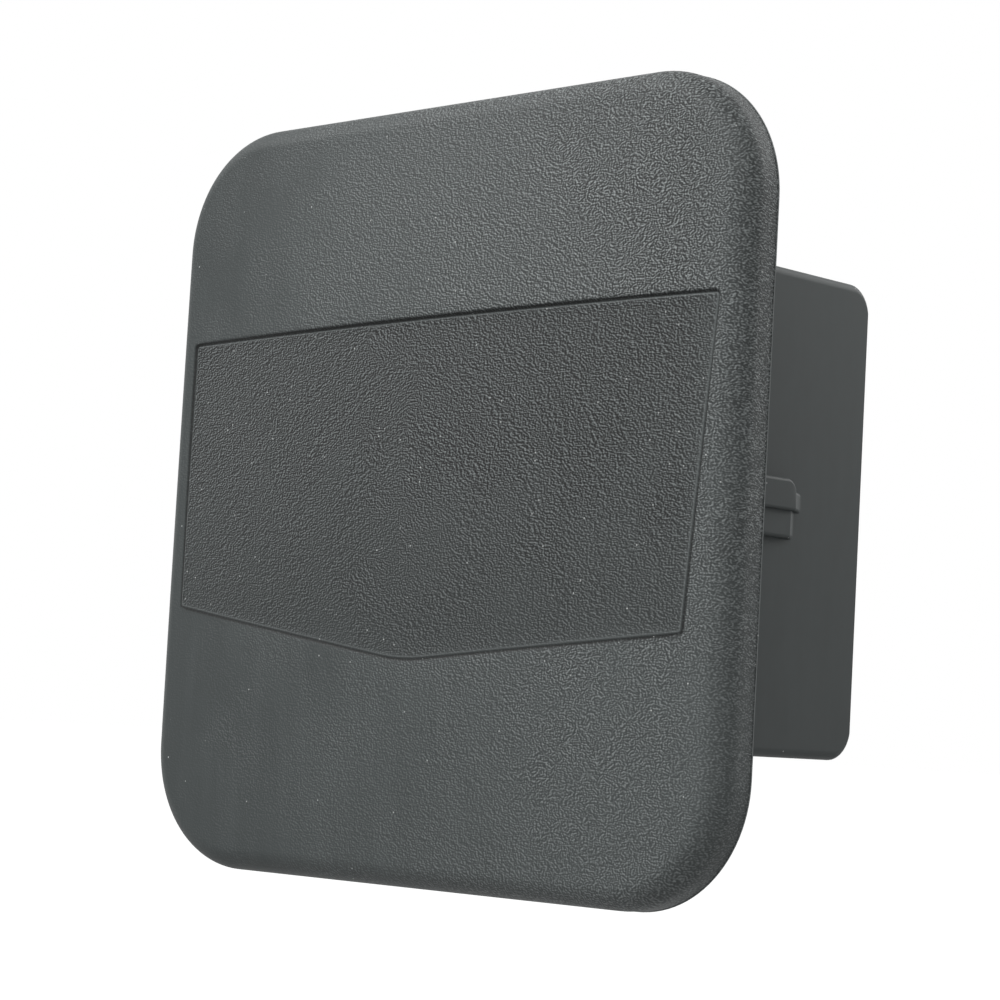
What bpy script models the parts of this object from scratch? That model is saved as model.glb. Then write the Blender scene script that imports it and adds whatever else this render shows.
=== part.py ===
"""Rubber cover that plugs the open end of a 2 inch hitch receiver tube.

The real thing is one compression moulding: a square pillow of a plate, a shallow five-sided
field sunk into its face, and an H-shaped plug behind it that is pushed into the tube. Two
stepped grip pads on the sides of the plug squeeze against the tube's walls and hold it there.

Metres, +Z up. The origin is the middle of the plate's flat back, which seats on the tube's
end. The face looks along -Y and the plug points along +Y, so the tube's axis is the Y axis.
"""

import math

import bmesh
import bpy

MM = 0.001

# Plate
PLATE_WIDTH = 80.0 * MM
PLATE_CORNER_RADIUS = 13.0 * MM
BAND_HEIGHT = 2.1 * MM           # straight side band, from the back forwards
ROLL_RADIUS = 2.5 * MM           # round between the band and the face
CROWN = 2.5 * MM                 # how far the middle of the face swells forwards

# Field sunk into the face: nearly level top edge, sides that come in, shallow V below. The
# insert that forms it isn't quite square: its right end is the taller one.
FIELD_SIDE_GAP = 1.0 * MM        # face left between the roll and the field's top corners
FIELD_TOP = 17.2 * MM            # top edge above the plate's middle
FIELD_SIDE_HEIGHT = 30.1 * MM    # from the top corners down to the bottom corners
FIELD_SIDE_TAPER = 1.3 * MM      # how far each bottom corner comes in
FIELD_POINT_DROP = 4.2 * MM      # the V's point below the bottom corners
FIELD_TOP_FLARE = 1.2 * MM       # how much higher the top edge is at its right end
FIELD_BOTTOM_FLARE = 1.8 * MM    # how much lower the right bottom corner is than the left
FIELD_SKEW = 0.45 * MM           # the top edge stands this far to the right, the bottom to the left
FIELD_DEPTH = 0.3 * MM           # below the face, at the plate's middle
FIELD_TILT = 0.008               # the floor leans, so that the field is deeper at its top
FIELD_WALL_RUN = 0.25 * MM       # width of the sloped wall, seen from the front

# Plug: two side legs joined by a web
RECEIVER_BORE = 50.8 * MM        # inside of a 2 inch receiver tube
PLUG_CLEARANCE = 0.5 * MM        # between a leg and the tube's wall
PLUG_LENGTH = 35.0 * MM
LEG_THICKNESS = 5.0 * MM
LEG_EDGE_RADIUS = 1.0 * MM       # long edges of the legs
LEG_REAR_RADIUS = 2.4 * MM       # free corners of the legs, seen from the side
WEB_THICKNESS = 5.0 * MM
WEB_FILLET = 3.0 * MM            # between the web and the legs
ROOT_FILLET = 1.5 * MM           # between the plug and the plate
ROOT_DEPTH = 1.5 * MM            # how far the plug's blank runs into the plate
ROOT_SINK = 0.02 * MM            # how far the root fillet's foot lies below the plate's back
LEAST_FILLET = 0.2 * MM          # what is left of the web's fillet at the root
DRAFT = math.radians(1.0)        # taper of the faces that face each other

# Grip pads: a proud upper step over a lower one, with a ramp at the rear
PAD_LENGTH = 22.2 * MM
PAD_RAMP = 2.8 * MM
PAD_UPPER_HEIGHT = 3.2 * MM
PAD_LOWER_HEIGHT = 2.8 * MM
PAD_UPPER_PROUD = 1.5 * MM
PAD_LOWER_PROUD = 0.9 * MM
PAD_EDGE_RADIUS = 0.4 * MM
PAD_REAR_RADIUS = 1.2 * MM       # upper rear corner, seen from the side

# Fineness of the mesh
ARC_STEPS = 10
SIDE_STEPS = 10
ROLL_STEPS = 6
FACE_RINGS = 5
FLOOR_RINGS = 7
FILLET_STEPS = 4
LEAST_TURN = math.radians(0.8)   # between two directions of the plate's rings
FULLEST_ROUND = 0.48             # share of a leg's thickness that an edge radius may take


def rounded_outline(corners, steps):
    """Closed outline through (x, z, radius) square corners, each rounded to its radius."""
    points = []
    count = len(corners)
    for i, (x, z, radius) in enumerate(corners):
        before = corners[i - 1]
        after = corners[(i + 1) % count]
        in_x, in_z = before[0] - x, before[1] - z
        out_x, out_z = after[0] - x, after[1] - z
        in_length = math.hypot(in_x, in_z)
        out_length = math.hypot(out_x, out_z)
        in_x, in_z = in_x / in_length, in_z / in_length
        out_x, out_z = out_x / out_length, out_z / out_length
        for step in range(steps + 1 if radius > 0.0 else 1):
            turn = math.radians(90.0) * step / steps
            along_in = radius * (1.0 - math.sin(turn))
            along_out = radius * (1.0 - math.cos(turn))
            points.append((x + in_x * along_in + out_x * along_out,
                           z + in_z * along_in + out_z * along_out))
    return points


def loft(name, rings):
    """Skin a stack of (x, y, z) rings with equal numbers of points, and cap both ends."""
    bm = bmesh.new()
    loops = [[bm.verts.new(point) for point in ring] for ring in rings]
    for ring, following in zip(loops, loops[1:]):
        count = len(ring)
        for i in range(count):
            j = (i + 1) % count
            bm.faces.new((ring[i], ring[j], following[j], following[i]))
    bm.faces.new(loops[0])
    bm.faces.new(loops[-1])
    return bm_to_object(bm, name)


def bm_to_object(bm, name):
    """Turn a bmesh into a linked object with outward faces."""
    bmesh.ops.recalc_face_normals(bm, faces=bm.faces)
    mesh = bpy.data.meshes.new(name)
    bm.to_mesh(mesh)
    bm.free()
    mesh.shade_smooth()
    mesh.set_sharp_from_angle(angle=math.radians(35.0))
    item = bpy.data.objects.new(name, mesh)
    bpy.context.scene.collection.objects.link(item)
    return item


def plate_radius(ux, uz, inset):
    """Distance from the plate's middle to its outline, drawn in by inset, along (ux, uz)."""
    half = PLATE_WIDTH / 2.0 - inset
    corner = max(PLATE_CORNER_RADIUS - inset, 0.0)
    ux, uz = abs(ux), abs(uz)
    straight = half / max(ux, uz)
    if straight * min(ux, uz) <= half - corner:
        return straight
    middle = half - corner
    along = middle * (ux + uz)
    return along + math.sqrt(max(along * along - 2.0 * middle * middle + corner * corner, 0.0))


def field_corners():
    """The five corners of the field, anticlockwise from the top right."""
    half_top = PLATE_WIDTH / 2.0 - ROLL_RADIUS - FIELD_SIDE_GAP
    half_bottom = half_top - FIELD_SIDE_TAPER
    bottom = FIELD_TOP - FIELD_SIDE_HEIGHT
    top_lean = FIELD_TOP_FLARE / 2.0
    bottom_lean = FIELD_BOTTOM_FLARE / 2.0
    return [(FIELD_SKEW + half_top, FIELD_TOP + top_lean),
            (FIELD_SKEW - half_top, FIELD_TOP - top_lean),
            (-FIELD_SKEW - half_bottom, bottom + bottom_lean),
            (0.0, bottom - FIELD_POINT_DROP),
            (half_bottom - FIELD_SKEW, bottom - bottom_lean)]


def field_radius(ux, uz, inset):
    """Distance from the plate's middle to the field's outline, drawn in by inset."""
    corners = field_corners()
    reach = []
    for (x0, z0), (x1, z1) in zip(corners, corners[1:] + corners[:1]):
        length = math.hypot(x1 - x0, z1 - z0)
        normal_x, normal_z = (z1 - z0) / length, -(x1 - x0) / length
        facing = normal_x * ux + normal_z * uz
        if facing > 1e-6:
            reach.append((normal_x * x0 + normal_z * z0 - inset) / facing)
    return min(reach)


def face_height(x, z, inset):
    """How far the plate stands in front of its back at (x, z), inset from its outline."""
    half = PLATE_WIDTH / 2.0
    swell = CROWN * (1.0 - (x / half) ** 2) * (1.0 - (z / half) ** 2)
    rolled = ROLL_RADIUS
    if inset < ROLL_RADIUS:
        rolled = math.sqrt(ROLL_RADIUS ** 2 - (ROLL_RADIUS - inset) ** 2)
    return BAND_HEIGHT + rolled + swell * min(rolled / ROLL_RADIUS, 1.0)


def floor_height(x, z):
    """How far the field's floor stands in front of the plate's back at (x, z)."""
    return face_height(x, z, ROLL_RADIUS) - FIELD_DEPTH - FIELD_TILT * z


def directions():
    """Unit vectors in which every ring of the plate has a point, in order round it."""
    half = PLATE_WIDTH / 2.0
    corners = [(half, -half), (half, half), (-half, half), (-half, -half)]
    outline = rounded_outline([(x, z, PLATE_CORNER_RADIUS) for x, z in corners], ARC_STEPS)
    straight = half - PLATE_CORNER_RADIUS
    for step in range(1, SIDE_STEPS):
        along = straight * (2.0 * step / SIDE_STEPS - 1.0)
        outline += [(half, along), (-half, along), (along, half), (along, -half)]
    exact = [math.atan2(z, x) for x, z in field_corners()]
    angles = list(exact)
    for x, z in outline:
        angle = math.atan2(z, x)
        if all(abs(angle - other) > LEAST_TURN for other in exact):
            angles.append(angle)
    return [(math.cos(angle), math.sin(angle)) for angle in sorted(angles)]


def build_plate():
    """The pillow plate with its sunk field, as rings from the back round to the floor."""
    around = directions()

    def ring(radius, height):
        points = []
        for ux, uz in around:
            reach = radius(ux, uz)
            x, z = ux * reach, uz * reach
            points.append((x, -height(x, z), z))
        return points

    rings = [ring(lambda ux, uz: plate_radius(ux, uz, 0.0), lambda x, z: 0.0)]
    for step in range(ROLL_STEPS + 1):
        turn = math.radians(90.0) * step / ROLL_STEPS
        inset = ROLL_RADIUS * (1.0 - math.cos(turn))
        rings.append(ring(lambda ux, uz: plate_radius(ux, uz, inset),
                          lambda x, z: face_height(x, z, inset)))
    for step in range(1, FACE_RINGS + 1):
        share = step / FACE_RINGS
        rings.append(ring(
            lambda ux, uz: ((1.0 - share) * plate_radius(ux, uz, ROLL_RADIUS)
                            + share * field_radius(ux, uz, 0.0)),
            lambda x, z: face_height(x, z, ROLL_RADIUS)))
    for step in range(FLOOR_RINGS):
        share = 1.0 - step / FLOOR_RINGS
        rings.append(ring(lambda ux, uz: share * field_radius(ux, uz, FIELD_WALL_RUN),
                          floor_height))

    bm = bmesh.new()
    loops = [[bm.verts.new(point) for point in points] for points in rings]
    count = len(around)
    for outer, inner in zip(loops, loops[1:]):
        for i in range(count):
            j = (i + 1) % count
            bm.faces.new((outer[i], outer[j], inner[j], inner[i]))
    bm.faces.new(loops[0])
    middle = bm.verts.new((0.0, -floor_height(0.0, 0.0), 0.0))
    for i in range(count):
        bm.faces.new((loops[-1][i], loops[-1][(i + 1) % count], middle))
    return bm_to_object(bm, "receiver_cover")


def plug_half_width():
    """Half of the plug's width and height, which fit the tube with its clearance."""
    return RECEIVER_BORE / 2.0 - PLUG_CLEARANCE


def plug_ring(y, grow, cut):
    """H outline of the plug at y, grown all round by grow, its legs shortened by cut."""
    half = plug_half_width()
    drawn = math.tan(DRAFT) * max(y, 0.0)
    out = half + grow
    tip = half + grow - cut
    inner = half - LEG_THICKNESS - grow + drawn
    web = WEB_THICKNESS / 2.0 + grow - drawn
    leg = out - inner
    edge = min(LEG_EDGE_RADIUS + grow, FULLEST_ROUND * leg)
    fillet = max(WEB_FILLET - grow, LEAST_FILLET)
    corners = [(out, -tip, edge), (out, tip, edge), (inner, tip, edge),
               (inner, web, fillet), (-inner, web, fillet), (-inner, tip, edge),
               (-out, tip, edge), (-out, -tip, edge), (-inner, -tip, edge),
               (-inner, -web, fillet), (inner, -web, fillet), (inner, -tip, edge)]
    return [(x, y, z) for x, z in rounded_outline(corners, FILLET_STEPS)]


def build_plug():
    """The H-shaped plug, from inside the plate to the rounded ends of its legs."""
    rings = [plug_ring(-ROOT_DEPTH, ROOT_FILLET, 0.0)]
    for step in range(FILLET_STEPS + 1):
        turn = math.radians(90.0) * step / FILLET_STEPS
        rings.append(plug_ring(ROOT_FILLET * (1.0 - math.cos(turn)) - ROOT_SINK,
                               ROOT_FILLET * (1.0 - math.sin(turn)), 0.0))
    for step in range(FILLET_STEPS + 1):
        turn = math.radians(90.0) * step / FILLET_STEPS
        rings.append(plug_ring(PLUG_LENGTH - LEG_REAR_RADIUS * (1.0 - math.sin(turn)),
                               0.0, LEG_REAR_RADIUS * (1.0 - math.cos(turn))))
    return loft("plug_blank", rings)


def pad_ring(side, y, sunk, top_cut):
    """Stepped outline of a grip pad at y, sunk into the leg, its top lowered by top_cut."""
    half = plug_half_width()
    buried = half - PAD_UPPER_PROUD - 2.0 * PAD_EDGE_RADIUS
    upper = half + PAD_UPPER_PROUD - sunk
    lower = half + PAD_LOWER_PROUD - sunk
    top = PAD_UPPER_HEIGHT - top_cut
    bottom = -PAD_LOWER_HEIGHT
    nick = min(PAD_EDGE_RADIUS, 0.5 * (upper - lower))
    corners = [(buried, bottom, 0.0), (lower, bottom, PAD_EDGE_RADIUS), (lower, 0.0, 0.0),
               (upper, 0.0, nick), (upper, top, PAD_EDGE_RADIUS), (buried, top, 0.0)]
    return [(side * x, y, z) for x, z in rounded_outline(corners, FILLET_STEPS)]


def build_pad(side):
    """One grip pad, rooted in the plate, with a ramp where it goes into the tube first."""
    rings = [pad_ring(side, -ROOT_DEPTH, 0.0, 0.0)]
    for step in range(FILLET_STEPS + 1):
        turn = math.radians(90.0) * step / FILLET_STEPS
        rings.append(pad_ring(side, PAD_LENGTH - PAD_REAR_RADIUS * (1.0 - math.sin(turn)),
                              0.0, PAD_REAR_RADIUS * (1.0 - math.cos(turn))))
    sunk = PAD_UPPER_PROUD + PAD_EDGE_RADIUS
    rings.append(pad_ring(side, PAD_LENGTH + PAD_RAMP * sunk / PAD_UPPER_PROUD,
                          sunk, PAD_REAR_RADIUS))
    return loft("pad_blank_left" if side < 0 else "pad_blank_right", rings)


def merge(target, blank):
    """Weld a blank onto the target and keep the blank as a hidden guide."""
    blank.hide_render = True
    blank.display_type = 'WIRE'
    weld = target.modifiers.new(blank.name, 'BOOLEAN')
    weld.operation = 'UNION'
    weld.solver = 'EXACT'
    weld.object = blank


def rubber():
    """Black moulded rubber that has greyed a little: matt, with a faint cold tint."""
    material = bpy.data.materials.new("moulded_rubber")
    material.use_nodes = True
    shader = material.node_tree.nodes["Principled BSDF"]
    shader.inputs["Base Color"].default_value = (0.066, 0.072, 0.072, 1.0)
    shader.inputs["Roughness"].default_value = 0.62
    shader.inputs["Metallic"].default_value = 0.0
    return material


def main():
    for item in list(bpy.data.objects):
        bpy.data.objects.remove(item, do_unlink=True)
    cover = build_plate()
    cover.data.materials.append(rubber())
    merge(cover, build_plug())
    for side in (-1, 1):
        merge(cover, build_pad(side))


main()
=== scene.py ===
# Hitch receiver cover: a square rubber pillow with a plug behind it, on a plain white stage.

import bisect
import math

import bmesh
import bpy
from mathutils import Matrix, Vector


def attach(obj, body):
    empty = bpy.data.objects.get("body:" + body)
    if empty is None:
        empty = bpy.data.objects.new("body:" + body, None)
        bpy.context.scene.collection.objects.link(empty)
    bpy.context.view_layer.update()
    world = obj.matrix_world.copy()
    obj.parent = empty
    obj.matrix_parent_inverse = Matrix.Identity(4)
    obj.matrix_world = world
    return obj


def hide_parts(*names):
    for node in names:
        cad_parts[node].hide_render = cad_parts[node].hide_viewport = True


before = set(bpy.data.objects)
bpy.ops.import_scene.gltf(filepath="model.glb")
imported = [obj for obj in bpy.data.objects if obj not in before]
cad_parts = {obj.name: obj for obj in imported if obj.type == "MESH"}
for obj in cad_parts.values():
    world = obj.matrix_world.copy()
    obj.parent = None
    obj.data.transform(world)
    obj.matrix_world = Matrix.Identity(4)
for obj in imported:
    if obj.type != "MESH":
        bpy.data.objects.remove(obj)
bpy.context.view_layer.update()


# The cover is one compression moulding in black rubber: a pillow-shaped plate, an H-shaped plug
# and two stepped grip pads. The mould parts along the plate's back edge, and a loose insert in
# its front half forms the five-sided field, so the field has its own grain and a witness line.

MM = 0.001

# Sizes that the CAD part has too
PLATE_WIDTH = 80.0 * MM
PLATE_CORNER_RADIUS = 13.0 * MM
BAND_HEIGHT = 2.1 * MM
ROLL_RADIUS = 2.5 * MM
CROWN = 2.5 * MM
FIELD_SIDE_GAP = 1.0 * MM
FIELD_TOP = 17.2 * MM
FIELD_SIDE_HEIGHT = 30.1 * MM
FIELD_SIDE_TAPER = 1.3 * MM
FIELD_POINT_DROP = 4.2 * MM
FIELD_TOP_FLARE = 1.2 * MM
FIELD_BOTTOM_FLARE = 1.8 * MM
FIELD_SKEW = 0.45 * MM
FIELD_DEPTH = 0.3 * MM
PLUG_HALF_WIDTH = 24.9 * MM
PLUG_LENGTH = 35.0 * MM
LEG_THICKNESS = 5.0 * MM
LEG_EDGE_RADIUS = 1.0 * MM
LEG_REAR_RADIUS = 2.4 * MM
WEB_THICKNESS = 5.0 * MM
WEB_FILLET = 3.0 * MM
ROOT_FILLET = 1.5 * MM
ROOT_DEPTH = 1.5 * MM
DRAFT = math.radians(1.0)
PAD_LENGTH = 22.2 * MM
PAD_RAMP = 2.8 * MM
PAD_UPPER_HEIGHT = 3.2 * MM
PAD_LOWER_HEIGHT = 2.8 * MM
PAD_UPPER_PROUD = 1.5 * MM
PAD_LOWER_PROUD = 0.9 * MM
PAD_EDGE_RADIUS = 0.4 * MM
PAD_REAR_RADIUS = 1.2 * MM

# Finer forms that only this skin has
FLASH_THICKNESS = 0.1 * MM       # fin of rubber left in the mould's parting line
FLASH_WIDTH = 0.07 * MM
FIELD_EDGE_DEPTH = 0.05 * MM     # the insert is flatter than the pillow and a little tilted
FIELD_TILT = 0.012
LINE_OUT = 0.15 * MM             # the insert's line from the CAD field's sides and from its top
LINE_DROP = 0.23 * MM
FIELD_CORNER_RADIUS = 0.25 * MM
FIELD_POINT_RADIUS = 25.0 * MM
LEAST_CORNER_RADIUS = 0.05 * MM
REAR_EDGE_RADIUS = 0.2 * MM
UNEVENNESS = 0.03 * MM

# Across the field's edge, from the face inwards: distance in, the same at the bottom sides, share
# of the depth, crease, grain, and the line: dirt and painted shade in the crease, then a rim
# with a painted highlight
FIELD_EDGE = (
    (-0.55 * MM, -0.90 * MM, 0.00, 0.000 * MM, 1.0, 0.0),
    (-0.38 * MM, -0.46 * MM, 0.05, 0.010 * MM, 0.9, 0.2),
    (-0.30 * MM, -0.36 * MM, 0.25, 0.040 * MM, 0.7, 1.0),
    (-0.15 * MM, -0.24 * MM, 0.60, 0.070 * MM, 0.3, 1.0),
    (-0.08 * MM, -0.14 * MM, 0.85, 0.040 * MM, 0.1, 0.4),
    (-0.02 * MM, -0.06 * MM, 1.00, -0.005 * MM, 0.3, -0.1),
    (0.04 * MM, 0.03 * MM, 1.00, -0.035 * MM, 0.5, -0.35),
    (0.10 * MM, 0.11 * MM, 1.00, -0.040 * MM, 0.7, -0.1),
    (0.18 * MM, 0.20 * MM, 1.00, -0.035 * MM, 0.9, 0.0),
    (0.35 * MM, 0.38 * MM, 1.00, -0.020 * MM, 1.0, 0.0),
    (0.60 * MM, 0.60 * MM, 1.00, -0.008 * MM, 1.0, 0.0),
    (0.90 * MM, 0.90 * MM, 1.00, 0.000 * MM, 1.0, 0.0),
)

# How finely the skin is divided
ARC_STEPS = 26
SIDE_STEPS = 64
BAND_SHARES = (0.05, 0.08, 0.3, 0.6, 0.9)
ROLL_STEPS = 16
FACE_RINGS = 18
FLOOR_RINGS = 26
BEARING_DIGITS = 5               # equal bearings are found after rounding to these
LEAST_TURN = math.radians(0.25)  # a side's bearings keep this far from all others


def rounded_outline(corners, steps):
    """Closed outline through (x, z, radius) corners, each rounded to its radius."""
    points = []
    for i, (x, z, radius) in enumerate(corners):
        corner = Vector((x, z))
        back = Vector(corners[i - 1][:2]) - corner
        ahead = Vector(corners[(i + 1) % len(corners)][:2]) - corner
        back.normalize()
        ahead.normalize()
        if radius <= 0.0:
            points.append(tuple(corner))
            continue
        half_angle = back.angle(ahead) / 2.0
        centre = corner + (back + ahead).normalized() * (radius / math.sin(half_angle))
        start = corner + back * (radius / math.tan(half_angle)) - centre
        end = corner + ahead * (radius / math.tan(half_angle)) - centre
        sweep = math.atan2(start.x * end.y - start.y * end.x, start.dot(end))
        for step in range(steps + 1):
            turn = sweep * step / steps
            points.append((centre.x + start.x * math.cos(turn) - start.y * math.sin(turn),
                           centre.y + start.x * math.sin(turn) + start.y * math.cos(turn)))
    return points


def reaches(outline, bearings):
    """Distance from the middle to a closed outline, along each bearing."""
    ordered = sorted((math.atan2(z, x), x, z) for x, z in outline)
    angles = [angle for angle, x, z in ordered]
    found = []
    for bearing in bearings:
        after = bisect.bisect(angles, bearing)
        x, z = ordered[after - 1][1:]
        run_x = ordered[after % len(ordered)][1] - x
        run_z = ordered[after % len(ordered)][2] - z
        found.append((x * run_z - z * run_x)
                     / (math.cos(bearing) * run_z - math.sin(bearing) * run_x))
    return found


def plate_outline(inset):
    """Rounded square of the plate, drawn in by inset."""
    half = PLATE_WIDTH / 2.0 - inset
    radius = PLATE_CORNER_RADIUS - inset
    return rounded_outline([(half, -half, radius), (half, half, radius),
                            (-half, half, radius), (-half, -half, radius)], ARC_STEPS)


def field_outline(inset, below):
    """Five-sided field drawn in by inset, or by below at its two bottom sides."""
    half_top = PLATE_WIDTH / 2.0 - ROLL_RADIUS - FIELD_SIDE_GAP + LINE_OUT
    half_bottom = half_top - FIELD_SIDE_TAPER
    top = FIELD_TOP - LINE_DROP
    bottom = FIELD_TOP - FIELD_SIDE_HEIGHT
    top_lean = FIELD_TOP_FLARE / 2.0
    bottom_lean = FIELD_BOTTOM_FLARE / 2.0
    corners = [Vector((FIELD_SKEW + half_top, top + top_lean)),
               Vector((FIELD_SKEW - half_top, top - top_lean)),
               Vector((-FIELD_SKEW - half_bottom, bottom + bottom_lean)),
               Vector((0.0, bottom - FIELD_POINT_DROP)),
               Vector((half_bottom - FIELD_SKEW, bottom - bottom_lean))]
    radii = [FIELD_CORNER_RADIUS] * 3 + [FIELD_POINT_RADIUS, FIELD_CORNER_RADIUS]
    behind = [inset, inset, inset, below, below]
    onward = [inset, inset, below, below, inset]
    drawn = []
    for i, corner in enumerate(corners):
        back = (corners[i - 1] - corner).normalized()
        ahead = (corners[(i + 1) % len(corners)] - corner).normalized()
        moved = corner + (ahead * behind[i] + back * onward[i]) / math.sin(back.angle(ahead))
        drawn.append((moved.x, moved.y, max(radii[i] - inset, LEAST_CORNER_RADIUS)))
    return rounded_outline(drawn, ARC_STEPS)


# Every ring of the skin has a point on each of these bearings: those of the plate's outline, of
# every second point of the field's and every sixth of a smaller one, and then of the sides
bearings = set()
for outline in (plate_outline(0.0), field_outline(0.0, 0.0)[::2],
                field_outline(0.5 * MM, 0.5 * MM)[::6]):
    bearings |= {round(math.atan2(z, x), BEARING_DIGITS) for x, z in outline}
straight = PLATE_WIDTH / 2.0 - PLATE_CORNER_RADIUS
for step in range(1, SIDE_STEPS):
    along = straight * (2.0 * step / SIDE_STEPS - 1.0)
    for quarter in range(4):
        bearing = math.atan2(along, PLATE_WIDTH / 2.0) + quarter * math.pi / 2.0
        bearing = (bearing + math.pi) % (2.0 * math.pi) - math.pi
        if all(abs(bearing - other) > LEAST_TURN for other in bearings):
            bearings.add(bearing)
bearings = sorted(bearings)

# The rings: reach along each bearing, then lift, inset, sunk, crease, grain and line for all of it
edge_reach = reaches(plate_outline(0.0), bearings)
band_reach = reaches(plate_outline(FLASH_WIDTH), bearings)
rings = [(edge_reach, 0.0, 0.0, 0.0, 0.0, 0.0, 0.0),
         (edge_reach, FLASH_THICKNESS / BAND_HEIGHT, 0.0, 0.0, 0.0, 0.0, -1.0)]
for share in BAND_SHARES:
    rings.append((band_reach, share, 0.0, 0.0, 0.0, 1.0, 0.0))
for step in range(ROLL_STEPS + 1):
    inset = ROLL_RADIUS * (1.0 - math.cos(math.radians(90.0) * step / ROLL_STEPS))
    drawn_in = FLASH_WIDTH + inset * (1.0 - FLASH_WIDTH / ROLL_RADIUS)
    rings.append((reaches(plate_outline(drawn_in), bearings), 1.0, inset, 0.0, 0.0, 1.0, 0.0))
roll_reach = rings[-1][0]
field_reach = reaches(field_outline(*FIELD_EDGE[0][:2]), bearings)
for step in range(1, FACE_RINGS):
    share = step / FACE_RINGS
    rings.append(([(1.0 - share) * a + share * b for a, b in zip(roll_reach, field_reach)],
                  1.0, ROLL_RADIUS, 0.0, 0.0, 1.0, 0.0))
for distance, below, *edge in FIELD_EDGE:
    rings.append((reaches(field_outline(distance, below), bearings), 1.0, ROLL_RADIUS, *edge))
floor_reach = rings[-1][0]
for step in range(1, FLOOR_RINGS):
    share = 1.0 - step / FLOOR_RINGS
    rings.append(([share * reach for reach in floor_reach],
                  1.0, ROLL_RADIUS, 1.0, 0.0, 1.0, 0.0))

# The flat skin, with what lifts it and what the material needs kept on its points
RING_VALUES = ("lift", "inset", "sunk", "crease", "grain", "line")
LOOK_VALUES = ("sunk", "grain", "line")
bm = bmesh.new()
layers = [bm.verts.layers.float.new(name) for name in RING_VALUES]
loops = []
for reach, *values in rings:
    loop = []
    for bearing, distance in zip(bearings, reach):
        point = bm.verts.new((math.cos(bearing) * distance, 0.0, math.sin(bearing) * distance))
        for layer, value in zip(layers, values):
            point[layer] = value
        loop.append(point)
    loops.append(loop)
for outer, inner in zip(loops, loops[1:]):
    for i in range(len(bearings)):
        bm.faces.new((outer[i - 1], outer[i], inner[i], inner[i - 1]))
middle = bm.verts.new((0.0, 0.0, 0.0))
for layer, value in zip(layers, (1.0, ROLL_RADIUS, 1.0, 0.0, 1.0, 0.0)):
    middle[layer] = value
for i in range(len(bearings)):
    bm.faces.new((loops[-1][i - 1], loops[-1][i], middle))
bm.faces.new(list(reversed(loops[0])))
flat_skin = bpy.data.meshes.new("flat_skin")
bm.to_mesh(flat_skin)
bm.free()
cover = bpy.data.objects.new("cover_moulding", flat_skin)
bpy.context.scene.collection.objects.link(cover)


def add_node(tree, kind, sockets, **settings):
    """Add a node, set its properties, and fill or link the sockets given by name or number."""
    node = tree.nodes.new(kind)
    for name, value in settings.items():
        setattr(node, name, value)
    for socket, value in sockets.items():
        if isinstance(value, bpy.types.NodeSocket):
            tree.links.new(value, node.inputs[socket])
        else:
            node.inputs[socket].default_value = value
    return node


def linear(code):
    """Linear colour with alpha from an sRGB hex code."""
    channels = [int(code[i:i + 2], 16) / 255.0 for i in (1, 3, 5)]
    return [c / 12.92 if c <= 0.04045 else ((c + 0.055) / 1.055) ** 2.4
            for c in channels] + [1.0]


# Natural rubber filled with carbon black, pressed in an etched steel mould: black that has greyed
# with bloom and handling, matt and smooth on the plug, and with a fine crisp grain on the front
# that is whole in the field and worn almost smooth towards the left.
BUMP_SIZE = 0.18 * MM            # height of one bump of the grain, seen from the front
BUMP_SPREAD = 1.4                # its width over its height
STEP_ASIDE = 0.115 * MM          # from a bump's crest to its foot
STEP_UP = 0.08 * MM
GRAIN_DEPTH = 0.06 * MM
PATCH_SIZE = 1.2 * MM
WANDER_SIZE = 8.0 * MM
WANDER = 40.0 * MM               # how far the borders of the grain's areas wander
TOOTH_SIZE = 0.12 * MM
CLOUD_SIZE = 9.0 * MM
STREAK_WIDTH = 1.6 * MM
SPECK_SPACING = 0.8 * MM
rubber = bpy.data.materials.new("moulded_rubber_etched")
rubber.use_nodes = True
tree = rubber.node_tree
shader = tree.nodes["Principled BSDF"]
place = add_node(tree, "ShaderNodeTexCoord", {}).outputs["Object"]
axes = add_node(tree, "ShaderNodeSeparateXYZ", {0: place}).outputs
in_field, grained, line = [add_node(tree, "ShaderNodeAttribute", {},
                                    attribute_name=name).outputs["Fac"]
                           for name in LOOK_VALUES]
inside = add_node(tree, "ShaderNodeMath", {0: in_field, 1: 0.5},
                  operation='GREATER_THAN').outputs[0]

# Grain: bumps, less the same bumps one step up and aside, so that each has a crest and a foot
# and they run together into short ridges; the colour paints the crests as highlight, the feet as
# shade
leaning = []
for lean in (STEP_ASIDE, -STEP_ASIDE):
    bumps = []
    for step in (0.0, 1.0):
        shifted = add_node(tree, "ShaderNodeMapping",
                           {0: place, "Location": (lean * step, 0.0, STEP_UP * step),
                            "Scale": (BUMP_SPREAD, BUMP_SPREAD, 1.0)},
                           vector_type='TEXTURE').outputs[0]
        bumps.append(add_node(tree, "ShaderNodeTexNoise",
                              {"Vector": shifted, "Scale": 1.0 / BUMP_SIZE,
                               "Detail": 0.0}).outputs["Fac"])
    leaning.append(add_node(tree, "ShaderNodeMath", {0: bumps[0], 1: bumps[1]},
                            operation='SUBTRACT').outputs[0])

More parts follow.
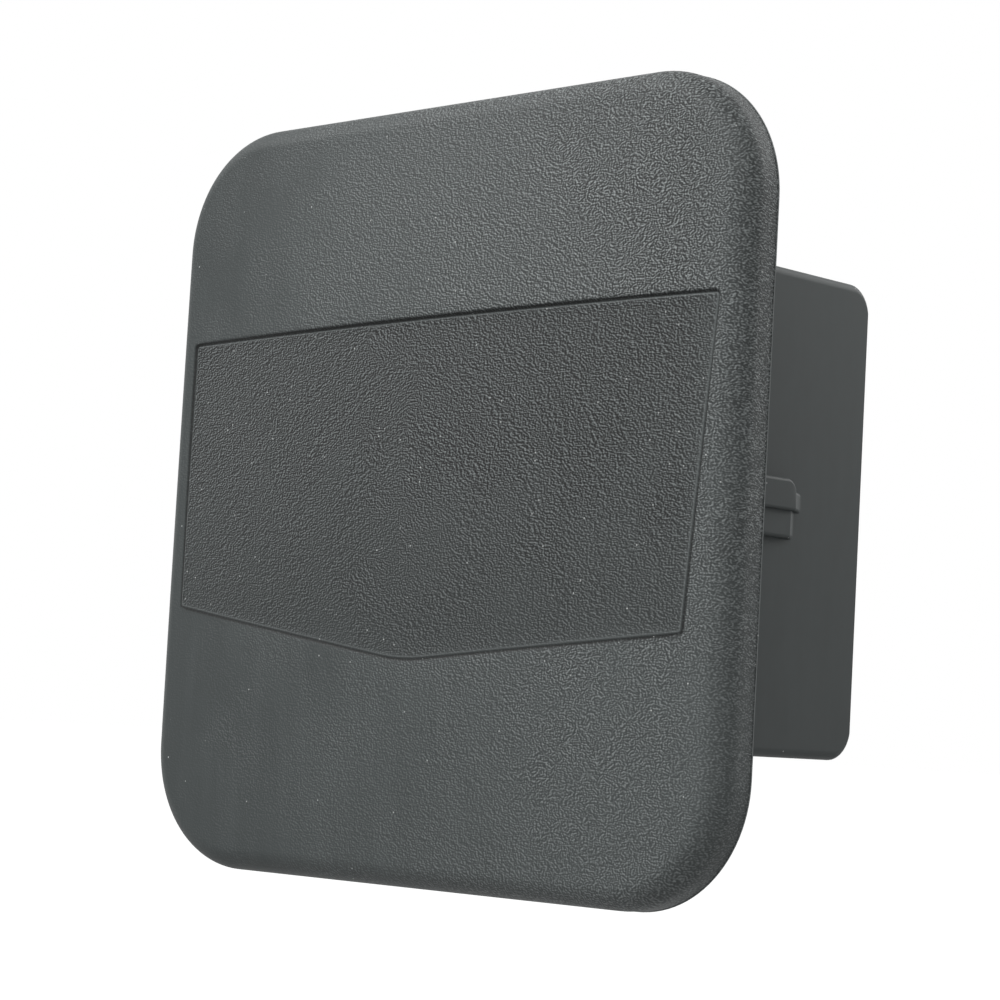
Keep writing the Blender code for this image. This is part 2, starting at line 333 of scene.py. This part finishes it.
# The ridges lean to the left in most places, to the right in the field's left half, and either
# way in patches near the face's right end. The noise that makes these areas' borders wander is a
# half on average, so a border is given from half_wander on.
wander = add_node(tree, "ShaderNodeTexNoise",
                  {"Vector": place, "Scale": 1.0 / WANDER_SIZE, "Detail": 2.0}).outputs["Fac"]
aside, upwards = [add_node(tree, "ShaderNodeMath", {0: wander, 1: WANDER, 2: axes[axis]},
                           operation='MULTIPLY_ADD').outputs[0] for axis in ("X", "Z")]
half_wander = WANDER / 2.0
patches = add_node(tree, "ShaderNodeTexNoise",
                   {"Vector": place, "Scale": 1.0 / PATCH_SIZE, "Detail": 1.0}).outputs["Fac"]
patches = add_node(tree, "ShaderNodeMapRange", {0: patches, 1: 0.46, 2: 0.56}).outputs[0]
at_right = add_node(tree, "ShaderNodeMapRange",
                    {0: aside, 1: half_wander + 16.0 * MM, 2: half_wander + 22.0 * MM,
                     4: patches}).outputs[0]
at_left = add_node(tree, "ShaderNodeMapRange",
                   {0: aside, 1: half_wander - 2.0 * MM, 2: half_wander - 6.0 * MM}).outputs[0]
areas = add_node(tree, "ShaderNodeMix", {0: inside, 2: at_right, 3: at_left}).outputs[0]
ridges = add_node(tree, "ShaderNodeMix", {0: areas, 2: leaning[0], 3: leaning[1]}).outputs[0]
grain_height = add_node(tree, "ShaderNodeMapRange", {0: ridges, 1: -0.22, 2: 0.32}).outputs[0]
grain_height = add_node(tree, "ShaderNodeMath", {0: grain_height, 1: 1.7},
                        operation='POWER').outputs[0]

# The grain is worn off towards the left of the face, in patches, shallower towards the bottom, and
# rubbed down at the right edge, where hands hold the cover
face_grain = add_node(tree, "ShaderNodeMapRange",
                      {0: aside, 1: half_wander - 34.0 * MM, 2: half_wander + 26.0 * MM,
                       3: 0.08}).outputs[0]
strength = add_node(tree, "ShaderNodeMix", {0: inside, 2: face_grain, 3: 1.0}).outputs[0]
high = add_node(tree, "ShaderNodeMapRange",
                {0: upwards, 1: half_wander - 24.0 * MM, 2: half_wander + 6.0 * MM,
                 3: 0.5}).outputs[0]
handled = add_node(tree, "ShaderNodeMapRange", {0: axes["X"], 1: 33.0 * MM, 2: 38.0 * MM,
                                                3: 1.0, 4: 0.7}).outputs[0]
for share in (grained, high, handled):
    strength = add_node(tree, "ShaderNodeMath", {0: strength, 1: share},
                        operation='MULTIPLY').outputs[0]
relief = add_node(tree, "ShaderNodeMath", {0: grain_height, 1: strength},
                  operation='MULTIPLY').outputs[0]

# Fine matt tooth over all of it, which is coarser than the real one so that it shows
tooth = add_node(tree, "ShaderNodeTexNoise",
                 {"Vector": place, "Scale": 1.0 / TOOTH_SIZE, "Detail": 1.0}).outputs["Fac"]
relief = add_node(tree, "ShaderNodeMath", {0: tooth, 1: 0.05, 2: relief},
                  operation='MULTIPLY_ADD').outputs[0]
bump = add_node(tree, "ShaderNodeBump", {"Height": relief, "Strength": 1.0,
                                         "Distance": GRAIN_DEPTH}).outputs[0]

# Colour: bloom greys the front in soft clouds and wiped streaks, and the front is greyed towards
# the right by bloom and by painted light; the plug is darker, for less bloom and as painted shade
clouds = add_node(tree, "ShaderNodeTexNoise",
                  {"Vector": place, "Scale": 1.0 / CLOUD_SIZE, "Detail": 4.0,
                   "Roughness": 0.6}).outputs["Fac"]
wiped = add_node(tree, "ShaderNodeMapping",
                 {0: place, "Rotation": (0.0, math.radians(8.0), 0.0),
                  "Scale": (1.0, 0.5, 0.12)}).outputs[0]
streaks = add_node(tree, "ShaderNodeTexNoise",
                   {"Vector": wiped, "Scale": 1.0 / STREAK_WIDTH, "Detail": 3.0}).outputs["Fac"]
tone = add_node(tree, "ShaderNodeMix", {0: 0.45, 2: clouds, 3: streaks}).outputs[0]
bare = add_node(tree, "ShaderNodeMapRange",
                {0: tone, 1: 0.3, 2: 0.7, 3: -0.25, 4: 0.25}).outputs[0]
# Painted light: the front's colour is lighter towards its right, and the plug's darker as painted
# shade
bloom_and_light_to_right = add_node(tree, "ShaderNodeMapRange",
                  {0: axes["X"], 1: -36.0 * MM, 2: 30.0 * MM}).outputs[0]
in_front = add_node(tree, "ShaderNodeMapRange", {0: axes["Y"], 1: 0.0, 2: -1.0 * MM}).outputs[0]
bloom_and_painted_light = add_node(tree, "ShaderNodeMix", {0: in_front, 2: 0.20, 3: bloom_and_light_to_right}).outputs[0]
bloom_and_painted_light = add_node(tree, "ShaderNodeMath", {0: bloom_and_painted_light, 1: bare}, use_clamp=True).outputs[0]
base = add_node(tree, "ShaderNodeMix", {0: bloom_and_painted_light, 6: linear("#373c3c"), 7: linear("#4f5454")},
                data_type='RGBA').outputs[2]

# Painted relief light: the grain's hollows are painted near black as shade and its ridges grey as
# a highlight, less so in the field
painted_shade_hollow = add_node(tree, "ShaderNodeMix", {0: inside, 6: linear("#212323"), 7: linear("#050606")},
                  data_type='RGBA').outputs[2]
painted_highlight_ridge = add_node(tree, "ShaderNodeMix", {0: inside, 6: linear("#959a9a"), 7: linear("#777c7c")},
                 data_type='RGBA').outputs[2]
painted_relief_light = add_node(tree, "ShaderNodeMix", {0: grain_height, 6: painted_shade_hollow, 7: painted_highlight_ridge},
                    data_type='RGBA').outputs[2]
base = add_node(tree, "ShaderNodeMix", {0: strength, 6: base, 7: painted_relief_light},
                data_type='RGBA').outputs[2]

# Dirt and painted shade darken the crease, painted shade darkens the field towards its bottom,
# the rim inside the crease has a painted highlight, and the thin flash on the back edge is drawn
# pale
# Painted shade: the field's colour is darker towards its bottom, where less light falls
low = add_node(tree, "ShaderNodeMapRange", {0: axes["Z"], 1: 2.0 * MM, 2: -12.0 * MM,
                                            4: 0.17}).outputs[0]
painted_shade_low = add_node(tree, "ShaderNodeMath", {0: inside, 1: low}, operation='MULTIPLY').outputs[0]
deeper_in_hollows = add_node(tree, "ShaderNodeMapRange", {0: grain_height, 3: 1.0, 4: 0.65}).outputs[0]
# Dirt and painted shade in the crease, deeper in the grain's hollows, plus the field's low painted
# shade
dirt_and_painted_shade = add_node(tree, "ShaderNodeMath", {0: line, 1: deeper_in_hollows, 2: painted_shade_low},
                operation='MULTIPLY_ADD', use_clamp=True).outputs[0]
base = add_node(tree, "ShaderNodeMix", {0: dirt_and_painted_shade, 6: base, 7: linear("#141616")},
                data_type='RGBA').outputs[2]
# Painted highlight on the field's rim inside the crease; the flash on the back edge drawn pale
pale_rim_and_flash = add_node(tree, "ShaderNodeMath", {0: line, 1: -0.8}, operation='MULTIPLY',
                   use_clamp=True).outputs[0]
base = add_node(tree, "ShaderNodeMix", {0: pale_rim_and_flash, 6: base, 7: linear("#8c9090")},
                data_type='RGBA').outputs[2]

# Pale specks of dust up to 0.2 mm across, about one in 20 mm2 of the field and fewer elsewhere
dots = add_node(tree, "ShaderNodeTexVoronoi", {"Vector": place, "Scale": 1.0 / SPECK_SPACING})
near = add_node(tree, "ShaderNodeMapRange",
                {0: dots.outputs["Distance"], 1: 0.09, 2: 0.13, 3: 0.9, 4: 0.0}).outputs[0]
luck = add_node(tree, "ShaderNodeSeparateXYZ", {0: dots.outputs["Color"]}).outputs["X"]
odds = add_node(tree, "ShaderNodeMapRange", {0: inside, 3: 0.96, 4: 0.86}).outputs[0]
chosen = add_node(tree, "ShaderNodeMath", {0: luck, 1: odds}, operation='GREATER_THAN').outputs[0]
speck = add_node(tree, "ShaderNodeMath", {0: near, 1: chosen}, operation='MULTIPLY').outputs[0]
base = add_node(tree, "ShaderNodeMix", {0: speck, 6: base, 7: linear("#b4b7b6")},
                data_type='RGBA').outputs[2]

gloss = add_node(tree, "ShaderNodeMapRange",
                 {0: tone, 1: 0.3, 2: 0.7, 3: 0.50, 4: 0.58}).outputs[0]
for socket, value in (("Base Color", base), ("Roughness", gloss), ("Normal", bump)):
    tree.links.new(value, shader.inputs[socket])
shader.inputs["IOR"].default_value = 1.5
shader.inputs["Specular IOR Level"].default_value = 0.25
shader.inputs["Metallic"].default_value = 0.0

# The pillow's rule: band, then roll, then a crown that falls off along x and along z, less the
# field's depth, with a faint unevenness where the rubber shrank
WAVE_SIZE = 7.0 * MM
lift_tree = bpy.data.node_groups.new("pillow_skin", "GeometryNodeTree")
SKIN_INPUTS = (("Half width", PLATE_WIDTH / 2.0), ("Band height", BAND_HEIGHT),
               ("Roll radius", ROLL_RADIUS), ("Crown", CROWN), ("Field depth", FIELD_DEPTH),
               ("Field edge depth", FIELD_EDGE_DEPTH), ("Field tilt", FIELD_TILT),
               ("Unevenness", UNEVENNESS), ("Seed", 3.0))
lift_tree.interface.new_socket("Geometry", in_out='INPUT', socket_type='NodeSocketGeometry')
for name, value in SKIN_INPUTS:
    lift_tree.interface.new_socket(name, in_out='INPUT', socket_type='NodeSocketFloat')
lift_tree.interface.new_socket("Rubber", in_out='INPUT', socket_type='NodeSocketMaterial')
lift_tree.interface.new_socket("Geometry", in_out='OUTPUT', socket_type='NodeSocketGeometry')
given = add_node(lift_tree, "NodeGroupInput", {}).outputs
point = add_node(lift_tree, "GeometryNodeInputPosition", {}).outputs[0]
spot = add_node(lift_tree, "ShaderNodeSeparateXYZ", {0: point}).outputs
stored = {name: add_node(lift_tree, "GeometryNodeInputNamedAttribute", {"Name": name},
                         data_type='FLOAT').outputs["Attribute"] for name in RING_VALUES}
# Quarter circle of the roll: sqrt(1 - (1 - inset / radius)^2)
turned_in = add_node(lift_tree, "ShaderNodeMath", {0: stored["inset"], 1: given["Roll radius"]},
                     operation='DIVIDE', use_clamp=True).outputs[0]
to_go = add_node(lift_tree, "ShaderNodeMath", {0: 1.0, 1: turned_in},
                 operation='SUBTRACT').outputs[0]
square = add_node(lift_tree, "ShaderNodeMath", {0: to_go, 1: to_go},
                  operation='MULTIPLY').outputs[0]
rest = add_node(lift_tree, "ShaderNodeMath", {0: 1.0, 1: square}, operation='SUBTRACT').outputs[0]
rolled = add_node(lift_tree, "ShaderNodeMath", {0: rest}, operation='SQRT').outputs[0]
swell = add_node(lift_tree, "ShaderNodeMath", {0: given["Crown"], 1: rolled},
                 operation='MULTIPLY').outputs[0]
hollowed = add_node(lift_tree, "ShaderNodeMath",
                    {0: given["Field depth"], 1: given["Field edge depth"]},
                    operation='SUBTRACT').outputs[0]
for axis in ("X", "Z"):
    share = add_node(lift_tree, "ShaderNodeMath", {0: spot[axis], 1: given["Half width"]},
                     operation='DIVIDE').outputs[0]
    square = add_node(lift_tree, "ShaderNodeMath", {0: share, 1: share},
                      operation='MULTIPLY').outputs[0]
    rest = add_node(lift_tree, "ShaderNodeMath", {0: 1.0, 1: square},
                    operation='SUBTRACT').outputs[0]
    swell = add_node(lift_tree, "ShaderNodeMath", {0: swell, 1: rest},
                     operation='MULTIPLY').outputs[0]
    hollowed = add_node(lift_tree, "ShaderNodeMath", {0: hollowed, 1: rest},
                        operation='MULTIPLY').outputs[0]
waves = add_node(lift_tree, "ShaderNodeTexNoise",
                 {"Vector": point, "W": given["Seed"], "Scale": 1.0 / WAVE_SIZE, "Detail": 1.0},
                 noise_dimensions='4D').outputs["Fac"]
waves = add_node(lift_tree, "ShaderNodeMath", {0: waves, 1: 1.0}, operation='SUBTRACT').outputs[0]
waves = add_node(lift_tree, "ShaderNodeMath", {0: waves, 1: turned_in},
                 operation='MULTIPLY').outputs[0]
depth = add_node(lift_tree, "ShaderNodeMath",
                 {0: spot["Z"], 1: given["Field tilt"], 2: given["Field edge depth"]},
                 operation='MULTIPLY_ADD').outputs[0]
depth = add_node(lift_tree, "ShaderNodeMath", {0: depth, 1: hollowed}).outputs[0]
height = swell
for first, second in ((stored["lift"], given["Band height"]), (rolled, given["Roll radius"]),
                      (waves, given["Unevenness"])):
    height = add_node(lift_tree, "ShaderNodeMath", {0: first, 1: second, 2: height},
                      operation='MULTIPLY_ADD').outputs[0]
for first, second in ((stored["sunk"], depth), (stored["crease"], 1.0)):
    lost = add_node(lift_tree, "ShaderNodeMath", {0: first, 1: second},
                    operation='MULTIPLY').outputs[0]
    height = add_node(lift_tree, "ShaderNodeMath", {0: height, 1: lost},
                      operation='SUBTRACT').outputs[0]
forward = add_node(lift_tree, "ShaderNodeMath", {0: height, 1: -1.0},
                   operation='MULTIPLY').outputs[0]
lifted = add_node(lift_tree, "ShaderNodeCombineXYZ",
                  {"X": spot["X"], "Y": forward, "Z": spot["Z"]}).outputs[0]
skin = add_node(lift_tree, "GeometryNodeSetPosition",
                {"Geometry": given["Geometry"], "Position": lifted}).outputs[0]
skin = add_node(lift_tree, "GeometryNodeRealizeInstances", {0: skin}).outputs[0]
skin = add_node(lift_tree, "GeometryNodeSetMaterial",
                {"Geometry": skin, "Material": given["Rubber"]}).outputs[0]
add_node(lift_tree, "NodeGroupOutput", {0: skin})
pillow = cover.modifiers.new("pillow_skin", 'NODES')
pillow.node_group = lift_tree
values = dict(SKIN_INPUTS, Rubber=rubber)
for socket in lift_tree.interface.items_tree:
    if socket.in_out == 'INPUT' and socket.name in values:
        pillow[socket.identifier] = values[socket.name]


def settle(item):
    """Replace an object's mesh with its evaluated, plain mesh and drop its modifiers."""
    bpy.context.view_layer.update()
    depsgraph = bpy.context.evaluated_depsgraph_get()
    mesh = bpy.data.meshes.new_from_object(item.evaluated_get(depsgraph))
    item.modifiers.clear()
    item.data = mesh


settle(cover)


# Limits that keep the plug's rings sound, and how the skin is welded and shaded
FILLET_STEPS = 8
EDGE_SHARE = 0.48                # an edge radius takes no more than this of a leg's thickness
LEAST_FILLET = 0.2 * MM
LEAST_STEP = 0.01 * MM           # from one ring to the next
SINK = 0.02 * MM                 # the root fillet starts this far inside the plate
WELD_GAP = 0.001 * MM
SHARP_ANGLE = math.radians(50.0)
FACE_WEIGHT = 80


def loft(name, stations):
    """Closed skin over a stack of rings of (x, y, z) points."""
    form = bmesh.new()
    stack = [[form.verts.new(corner) for corner in station] for station in stations]
    for ring, following in zip(stack, stack[1:]):
        for i in range(len(ring)):
            form.faces.new((ring[i - 1], ring[i], following[i], following[i - 1]))
    form.faces.new(stack[0])
    form.faces.new(stack[-1])
    bmesh.ops.recalc_face_normals(form, faces=form.faces)
    mesh = bpy.data.meshes.new(name)
    form.to_mesh(mesh)
    form.free()
    mesh.materials.append(rubber)
    item = bpy.data.objects.new(name, mesh)
    bpy.context.scene.collection.objects.link(item)
    return item


def plug_ring(y, grow, cut):
    """H outline of the plug at y, grown all round by grow, its legs shortened by cut."""
    drawn = math.tan(DRAFT) * max(y, 0.0)
    out = PLUG_HALF_WIDTH + grow
    tip = PLUG_HALF_WIDTH + grow - cut
    inner = PLUG_HALF_WIDTH - LEG_THICKNESS - grow + drawn
    web = WEB_THICKNESS / 2.0 + grow - drawn
    edge = min(LEG_EDGE_RADIUS + grow, EDGE_SHARE * (out - inner))
    fillet = max(WEB_FILLET - grow, LEAST_FILLET)
    corners = [(out, -tip, edge), (out, tip, edge), (inner, tip, edge),
               (inner, web, fillet), (-inner, web, fillet), (-inner, tip, edge),
               (-out, tip, edge), (-out, -tip, edge), (-inner, -tip, edge),
               (-inner, -web, fillet), (inner, -web, fillet), (inner, -tip, edge)]
    return [(x, y, z) for x, z in rounded_outline(corners, FILLET_STEPS)]


# The plug: root fillet, straight legs, then their round free corners and a narrow edge round
quarter_turns = [math.radians(90.0) * step / FILLET_STEPS for step in range(FILLET_STEPS + 1)]
stations = [plug_ring(-ROOT_DEPTH, ROOT_FILLET, 0.0)]
for turn in quarter_turns:
    stations.append(plug_ring(ROOT_FILLET * (1.0 - math.cos(turn)) - SINK,
                              ROOT_FILLET * (1.0 - math.sin(turn)), 0.0))
for turn in quarter_turns[:-1]:
    stations.append(plug_ring(PLUG_LENGTH - LEG_REAR_RADIUS * (1.0 - math.sin(turn)), 0.0,
                              LEG_REAR_RADIUS * (1.0 - math.cos(turn))))
for turn in quarter_turns[::2]:
    y = PLUG_LENGTH - REAR_EDGE_RADIUS * (1.0 - math.sin(turn))
    behind = (LEG_REAR_RADIUS - (PLUG_LENGTH - y)) / LEG_REAR_RADIUS
    if y > stations[-1][0][1] + LEAST_STEP:
        stations.append(plug_ring(y, -REAR_EDGE_RADIUS * (1.0 - math.cos(turn)),
                                  LEG_REAR_RADIUS * (1.0 - math.sqrt(1.0 - behind ** 2))))
parts = [loft("plug_form", stations)]


def pad_ring(side, y, sunk, top_cut):
    """Stepped outline of a grip pad at y, sunk into the leg, its top lowered by top_cut."""
    buried = PLUG_HALF_WIDTH - PAD_UPPER_PROUD - 2.0 * PAD_EDGE_RADIUS
    upper = PLUG_HALF_WIDTH + PAD_UPPER_PROUD - sunk
    lower = PLUG_HALF_WIDTH + PAD_LOWER_PROUD - sunk
    top = PAD_UPPER_HEIGHT - top_cut
    nick = min(PAD_EDGE_RADIUS, 0.5 * (upper - lower))
    corners = [(buried, -PAD_LOWER_HEIGHT, 0.0), (lower, -PAD_LOWER_HEIGHT, PAD_EDGE_RADIUS),
               (lower, 0.0, 0.0), (upper, 0.0, nick), (upper, top, PAD_EDGE_RADIUS),
               (buried, top, 0.0)]
    return [(side * x, y, z) for x, z in rounded_outline(corners, FILLET_STEPS)]


# The two grip pads, each with a ramp at the end that enters the tube first
for side in (-1, 1):
    stations = [pad_ring(side, -ROOT_DEPTH, 0.0, 0.0)]
    for turn in quarter_turns:
        stations.append(pad_ring(side, PAD_LENGTH - PAD_REAR_RADIUS * (1.0 - math.sin(turn)),
                                 0.0, PAD_REAR_RADIUS * (1.0 - math.cos(turn))))
    sunk = PAD_UPPER_PROUD + PAD_EDGE_RADIUS
    stations.append(pad_ring(side, PAD_LENGTH + PAD_RAMP * sunk / PAD_UPPER_PROUD,
                             sunk, PAD_REAR_RADIUS))
    parts.append(loft("pad_form_left" if side < 0 else "pad_form_right", stations))

# All of it is one skin, as it comes out of the mould. Grain, and the crease's dirt, painted shade
# and painted highlight, are for its front only.
for form in parts:
    weld = cover.modifiers.new(form.name, 'BOOLEAN')
    weld.operation = 'UNION'
    weld.solver = 'EXACT'
    weld.object = form
settle(cover)
for form in parts:
    bpy.data.objects.remove(form, do_unlink=True)
for name in RING_VALUES:
    if name not in LOOK_VALUES:
        cover.data.attributes.remove(cover.data.attributes[name])
bm = bmesh.new()
bm.from_mesh(cover.data)
bmesh.ops.remove_doubles(bm, verts=bm.verts, dist=WELD_GAP)
bmesh.ops.recalc_face_normals(bm, faces=bm.faces)
for name in LOOK_VALUES:
    layer = bm.verts.layers.float[name]
    for corner in bm.verts:
        if corner.co.y > -WELD_GAP:
            corner[layer] = 0.0
bm.to_mesh(cover.data)
bm.free()
cover.data.shade_smooth()
cover.data.set_sharp_from_angle(angle=SHARP_ANGLE)
even = cover.modifiers.new("even_shading", 'WEIGHTED_NORMAL')
even.keep_sharp = True
even.weight = FACE_WEIGHT
settle(cover)
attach(cover, "root")
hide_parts("receiver_cover")


# The stage: a white floor well below the cover, which in use is held up by its plug, and white
# all round. Seen by the camera or in a reflection both are plain white, and the floor near the
# cover keeps its shadow.
FLOOR_DROP = 150.0 * MM
FLOOR_SIZE = 40000.0 * MM
DIM_WITHIN = 300.0 * MM          # the floor's own glow is weak this near, and full at BRIGHT_FROM
BRIGHT_FROM = 1000.0 * MM
floor_mesh = bpy.data.meshes.new("stage_floor")
half = FLOOR_SIZE / 2.0
floor_mesh.from_pydata([(-half, -half, -FLOOR_DROP), (half, -half, -FLOOR_DROP),
                        (half, half, -FLOOR_DROP), (-half, half, -FLOOR_DROP)], [], [(0, 1, 2, 3)])
floor = bpy.data.objects.new("stage_floor", floor_mesh)
bpy.context.scene.collection.objects.link(floor)


def seen_directly(tree):
    """1 for a ray that shows a surface in the picture, in a reflection or through glass."""
    rays = add_node(tree, "ShaderNodeLightPath", {}).outputs
    direct = rays["Is Camera Ray"]
    for name in ("Is Glossy Ray", "Is Transmission Ray"):
        direct = add_node(tree, "ShaderNodeMath", {0: direct, 1: rays[name]},
                          operation='MAXIMUM').outputs[0]
    return direct


# White paper, matt, with a glow of its own that makes it plain white where it is seen directly
paper = bpy.data.materials.new("white_paper_sweep")
paper.use_nodes = True
tree = paper.node_tree
tree.nodes.clear()
place = add_node(tree, "ShaderNodeTexCoord", {}).outputs["Object"]
away = add_node(tree, "ShaderNodeVectorMath", {0: place}, operation='LENGTH').outputs["Value"]
glow = add_node(tree, "ShaderNodeMapRange",
                {0: away, 1: DIM_WITHIN, 2: BRIGHT_FROM, 3: 0.35}).outputs[0]
glow = add_node(tree, "ShaderNodeMath", {0: glow, 1: seen_directly(tree)},
                operation='MULTIPLY').outputs[0]
matt = add_node(tree, "ShaderNodeBsdfDiffuse", {"Color": linear("#b4b4b4")}).outputs[0]
white = add_node(tree, "ShaderNodeEmission", {"Color": linear("#ffffff"),
                                              "Strength": glow}).outputs[0]
both = add_node(tree, "ShaderNodeAddShader", {0: matt, 1: white}).outputs[0]
add_node(tree, "ShaderNodeOutputMaterial", {"Surface": both})
floor_mesh.materials.append(paper)

world = bpy.data.worlds.new("white_surround")
world.use_nodes = True
tree = world.node_tree
tree.nodes.clear()
level = add_node(tree, "ShaderNodeMapRange", {0: seen_directly(tree), 3: 0.15}).outputs[0]
sky = add_node(tree, "ShaderNodeBackground", {"Color": linear("#ffffff"),
                                              "Strength": level}).outputs[0]
add_node(tree, "ShaderNodeOutputWorld", {"Surface": sky})
bpy.context.scene.world = world

# Soft boxes: place and size in metres, and power in watts. The key stands high in front, to the
# left, a weaker one fills from the right, and two more reach the top and the back.
SOFT_BOXES = {
    "key_box": ((-0.42, -0.72, 0.62), 0.50, 5.8),
    "fill_box": ((0.45, -0.72, 0.60), 0.50, 4.4),
    "high_box": ((-0.66, -0.38, 0.64), 0.50, 1.8),
    "back_box": ((0.25, 0.85, 0.45), 0.60, 4.0),
}
for name, (stand, size, power) in SOFT_BOXES.items():
    lamp = bpy.data.lights.new(name, 'AREA')
    lamp.shape = 'SQUARE'
    lamp.size = size
    lamp.energy = power
    box = bpy.data.objects.new(name, lamp)
    box.location = stand
    box.rotation_euler = (-Vector(stand)).to_track_quat('-Z', 'Y').to_euler()
    bpy.context.scene.collection.objects.link(box)


# The camera: close, on the cover's right front, a little below its middle and looking up
CAMERA_AIM = Vector((6.277, 0.0, -0.711)) * MM
CAMERA_DISTANCE = 284.84 * MM
CAMERA_AZIMUTH = math.radians(43.718)
CAMERA_ELEVATION = math.radians(-4.675)
CAMERA_ROLL = math.radians(3.144)
CAMERA_LENS = 102.31             # in mm, as is the sensor's width
SENSOR_WIDTH = 36.0
CLIP_START = 10.0 * MM
CLIP_END = 100000.0 * MM
back = Vector((math.sin(CAMERA_AZIMUTH) * math.cos(CAMERA_ELEVATION),
               -math.cos(CAMERA_AZIMUTH) * math.cos(CAMERA_ELEVATION),
               math.sin(CAMERA_ELEVATION)))
right = (-back).cross(Vector((0.0, 0.0, 1.0))).normalized()
up = right.cross(-back)
rolled_right = right * math.cos(CAMERA_ROLL) + up * math.sin(CAMERA_ROLL)
rolled_up = up * math.cos(CAMERA_ROLL) - right * math.sin(CAMERA_ROLL)
camera_data = bpy.data.cameras.new("camera")
camera_data.sensor_width = SENSOR_WIDTH
camera_data.lens = CAMERA_LENS
camera_data.clip_start = CLIP_START
camera_data.clip_end = CLIP_END
camera = bpy.data.objects.new("camera", camera_data)
turn = Matrix((rolled_right, rolled_up, back)).transposed().to_4x4()
camera.matrix_world = Matrix.Translation(CAMERA_AIM + back * CAMERA_DISTANCE) @ turn
bpy.context.scene.collection.objects.link(camera)
bpy.context.scene.camera = camera
bpy.context.scene.view_settings.view_transform = 'Standard'
